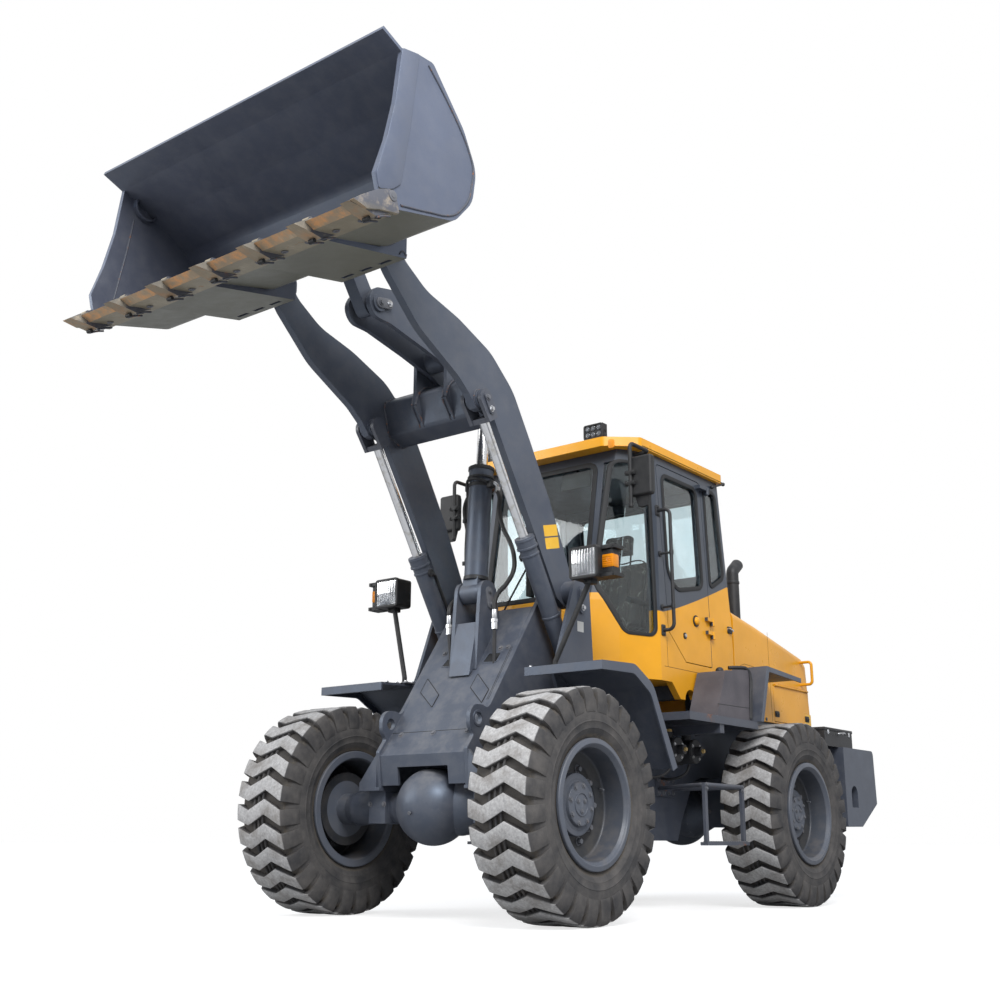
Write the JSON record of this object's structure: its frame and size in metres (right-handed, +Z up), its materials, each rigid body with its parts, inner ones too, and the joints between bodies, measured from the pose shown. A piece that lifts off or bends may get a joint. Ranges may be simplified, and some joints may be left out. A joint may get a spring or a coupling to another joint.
{
  "type": "wheel loader",
  "caption": "Articulated wheel loader with a raised Z-bar boom and dumping bucket, enclosed cab, rear engine hood, counterweight and large tyred wheels.",
  "frame": {"origin": "bottom centre of the machine's bounding box at rest, on the ground under its length's middle", "axes": "+X forward towards the bucket, +Y to the driver's left, +Z up"},
  "size_m": [6.818, 2.44, 4.61],
  "materials": {
    "yellow_paint": "semi-gloss amber yellow enamel with dust",
    "dark_paint": "semi-gloss dark blue-grey enamel",
    "bucket_paint": "dark blue-grey enamel, scuffed",
    "rim_paint": "grey enamel with dust",
    "post_paint": "blue-grey enamel",
    "black_steel": "satin black enamel",
    "tyre_rubber": "dusty black rubber",
    "rod_chrome": "polished chrome",
    "edge_steel": "worn steel with rust",
    "clear_glass": "clear tinted glass",
    "black_plastic": "matte black plastic",
    "seat_fabric": "dark woven fabric"
  },
  "bodies": {
    "rear_half": {"rear_frame": "dark_paint", "rear_axle": "dark_paint", "engine_block": "black_steel", "hood": "yellow_paint", "rear_grille": "dark_paint", "counterweight": "dark_paint", "battery_boxes": "black_plastic", "rear_fenders": "dark_paint", "side_boxes": "black_plastic", "steps": "black_steel", "brake_boosters": "black_steel", "exhaust_stack": "black_steel", "cab_shell": "post_paint", "cab_glass": "clear_glass", "cab_roof": "yellow_paint", "seat": "seat_fabric", "steering_console": "black_plastic", "grab_rails": "black_steel", "mirrors": "black_plastic", "roof_lamps": "black_plastic"},
    "front_half": {"front_frame": "dark_paint", "front_axle": "dark_paint", "front_fenders": "dark_paint", "headlamps": "black_plastic"},
    "boom": {"boom": "dark_paint"},
    "bellcrank": {"bellcrank": "dark_paint"},
    "bucket_link": {"bucket_link": "dark_paint"},
    "bucket": {"bucket": "bucket_paint", "bucket_edge": "edge_steel"},
    "tilt_barrel": {"tilt_barrel": "dark_paint"},
    "tilt_rod": {"tilt_rod": "rod_chrome"},
    "lift_barrel_left": {"lift_barrel_left": "dark_paint"},
    "lift_rod_left": {"lift_rod_left": "rod_chrome"},
    "steer_barrel_left": {"steer_barrel_left": "black_steel"},
    "steer_rod_left": {"steer_rod_left": "rod_chrome"},
    "cab_door_left": {"cab_door_left": "post_paint", "door_glass_left": "clear_glass"},
    "hood_door_left": {"hood_door_left": "yellow_paint"},
    "wheel_front_left": {"tyre_front_left": "tyre_rubber", "rim_front_left": "rim_paint"},
    "wheel_rear_left": {"tyre_rear_left": "tyre_rubber", "rim_rear_left": "rim_paint"},
    "lift_barrel_right": {"lift_barrel_right": "dark_paint"},
    "lift_rod_right": {"lift_rod_right": "rod_chrome"},
    "steer_barrel_right": {"steer_barrel_right": "black_steel"},
    "steer_rod_right": {"steer_rod_right": "rod_chrome"},
    "cab_door_right": {"cab_door_right": "post_paint", "door_glass_right": "clear_glass"},
    "hood_door_right": {"hood_door_right": "yellow_paint"},
    "wheel_front_right": {"tyre_front_right": "tyre_rubber", "rim_front_right": "rim_paint"},
    "wheel_rear_right": {"tyre_rear_right": "tyre_rubber", "rim_rear_right": "rim_paint"}
  },
  "joints": [
    {"name": "steering", "type": "hinge", "parent": "rear_half", "child": "front_half", "pos_m": [-0.236, 0, 0.9], "axis": [0, 0, 1], "range_deg": [-35, 35]},
    {"name": "boom_lift", "type": "hinge", "parent": "front_half", "child": "boom", "pos_m": [0.519, 0, 2.073], "axis": [0, -1, 0], "range_deg": [-91, 1]},
    {"name": "bucket_tilt", "type": "hinge", "parent": "boom", "child": "bucket", "pos_m": [2.359, 0, 3.91], "axis": [0, 1, 0], "range_deg": [-105, 30]},
    {"name": "bellcrank_swing", "type": "hinge", "parent": "boom", "child": "bellcrank", "pos_m": [1.309, 0, 3.62], "axis": [0, 1, 0], "range_deg": [-12, 36]},
    {"name": "link_swing", "type": "hinge", "parent": "bucket", "child": "bucket_link", "pos_m": [2.309, 0, 4.14], "axis": [0, 1, 0], "range_deg": [-25, 80]},
    {"name": "lift_barrel_swing_left", "type": "hinge", "parent": "front_half", "child": "lift_barrel_left", "pos_m": [0.381, 0.465, 1.43], "axis": [0, -1, 0], "range_deg": [-74, 2]},
    {"name": "lift_rod_slide_left", "type": "slide", "parent": "lift_barrel_left", "child": "lift_rod_left", "axis": [0.5311, 0, 0.8473], "range_m": [-0.8, 0.02]},
    {"name": "lift_barrel_swing_right", "type": "hinge", "parent": "front_half", "child": "lift_barrel_right", "pos_m": [0.381, -0.465, 1.43], "axis": [0, -1, 0], "range_deg": [-74, 2]},
    {"name": "lift_rod_slide_right", "type": "slide", "parent": "lift_barrel_right", "child": "lift_rod_right", "axis": [0.5311, 0, 0.8473], "range_m": [-0.8, 0.02]},
    {"name": "tilt_barrel_swing", "type": "hinge", "parent": "front_half", "child": "tilt_barrel", "pos_m": [0.904, 0, 2.075], "axis": [0, -1, 0], "range_deg": [-108.5, 2]},
    {"name": "tilt_rod_slide", "type": "slide", "parent": "tilt_barrel", "child": "tilt_rod", "axis": [-0.0675, 0, 0.9977], "range_m": [-0.08, 0.01]},
    {"name": "steer_barrel_swing_left", "type": "hinge", "parent": "rear_half", "child": "steer_barrel_left", "pos_m": [-0.831, 0.235, 0.9], "axis": [0, 0, 1], "range_deg": [-12, 12]},
    {"name": "steer_rod_slide_left", "type": "slide", "parent": "steer_barrel_left", "child": "steer_rod_left", "axis": [0.9995, 0.0312, 0], "range_m": [-0.17, 0.17]},
    {"name": "steer_barrel_swing_right", "type": "hinge", "parent": "rear_half", "child": "steer_barrel_right", "pos_m": [-0.831, -0.235, 0.9], "axis": [0, 0, 1], "range_deg": [-12, 12]},
    {"name": "steer_rod_slide_right", "type": "slide", "parent": "steer_barrel_right", "child": "steer_rod_right", "axis": [0.9995, -0.0312, 0], "range_m": [-0.17, 0.17]},
    {"name": "wheel_spin_front_left", "type": "hinge", "parent": "front_half", "child": "wheel_front_left", "pos_m": [1.219, 0.945, 0.67], "axis": [0, 1, 0], "continuous": true},
    {"name": "wheel_spin_front_right", "type": "hinge", "parent": "front_half", "child": "wheel_front_right", "pos_m": [1.219, -0.945, 0.67], "axis": [0, 1, 0], "continuous": true},
    {"name": "wheel_spin_rear_left", "type": "hinge", "parent": "rear_half", "child": "wheel_rear_left", "pos_m": [-1.691, 0.945, 0.67], "axis": [0, 1, 0], "continuous": true},
    {"name": "wheel_spin_rear_right", "type": "hinge", "parent": "rear_half", "child": "wheel_rear_right", "pos_m": [-1.691, -0.945, 0.67], "axis": [0, 1, 0], "continuous": true},
    {"name": "cab_door_hinge_left", "type": "hinge", "parent": "rear_half", "child": "cab_door_left", "pos_m": [-0.986, 0.775, 2.4], "axis": [0, 0, 1], "range_deg": [0, 80]},
    {"name": "hood_door_hinge_left", "type": "hinge", "parent": "rear_half", "child": "hood_door_left", "pos_m": [-2.368, 0.745, 1.692], "axis": [1, 0, 0], "range_deg": [0, 75]},
    {"name": "cab_door_hinge_right", "type": "hinge", "parent": "rear_half", "child": "cab_door_right", "pos_m": [-0.986, -0.775, 2.4], "axis": [0, 0, -1], "range_deg": [0, 80]},
    {"name": "hood_door_hinge_right", "type": "hinge", "parent": "rear_half", "child": "hood_door_right", "pos_m": [-2.368, -0.745, 1.692], "axis": [-1, 0, 0], "range_deg": [0, 75]}
  ],
  "couplings": [
    {"joint": "bellcrank_swing", "follows": "bucket_tilt", "ratio": -0.29854},
    {"joint": "link_swing", "follows": "bucket_tilt", "ratio": -0.71},
    {"joint": "lift_barrel_swing_left", "follows": "boom_lift", "ratio": 0.80508},
    {"joint": "lift_rod_slide_left", "follows": "boom_lift", "m_per_rad": 0.49906},
    {"joint": "lift_barrel_swing_right", "follows": "boom_lift", "ratio": 0.80508},
    {"joint": "lift_rod_slide_right", "follows": "boom_lift", "m_per_rad": 0.49906},
    {"joint": "tilt_barrel_swing", "follows": "boom_lift", "ratio": 1.1845},
    {"joint": "tilt_rod_slide", "follows": "boom_lift", "m_per_rad": 0.04516},
    {"joint": "steer_barrel_swing_left", "follows": "steering", "ratio": 0.265},
    {"joint": "steer_rod_slide_left", "follows": "steering", "m_per_rad": -0.25},
    {"joint": "steer_barrel_swing_right", "follows": "steering", "ratio": 0.265},
    {"joint": "steer_rod_slide_right", "follows": "steering", "m_per_rad": 0.25}
  ]
}
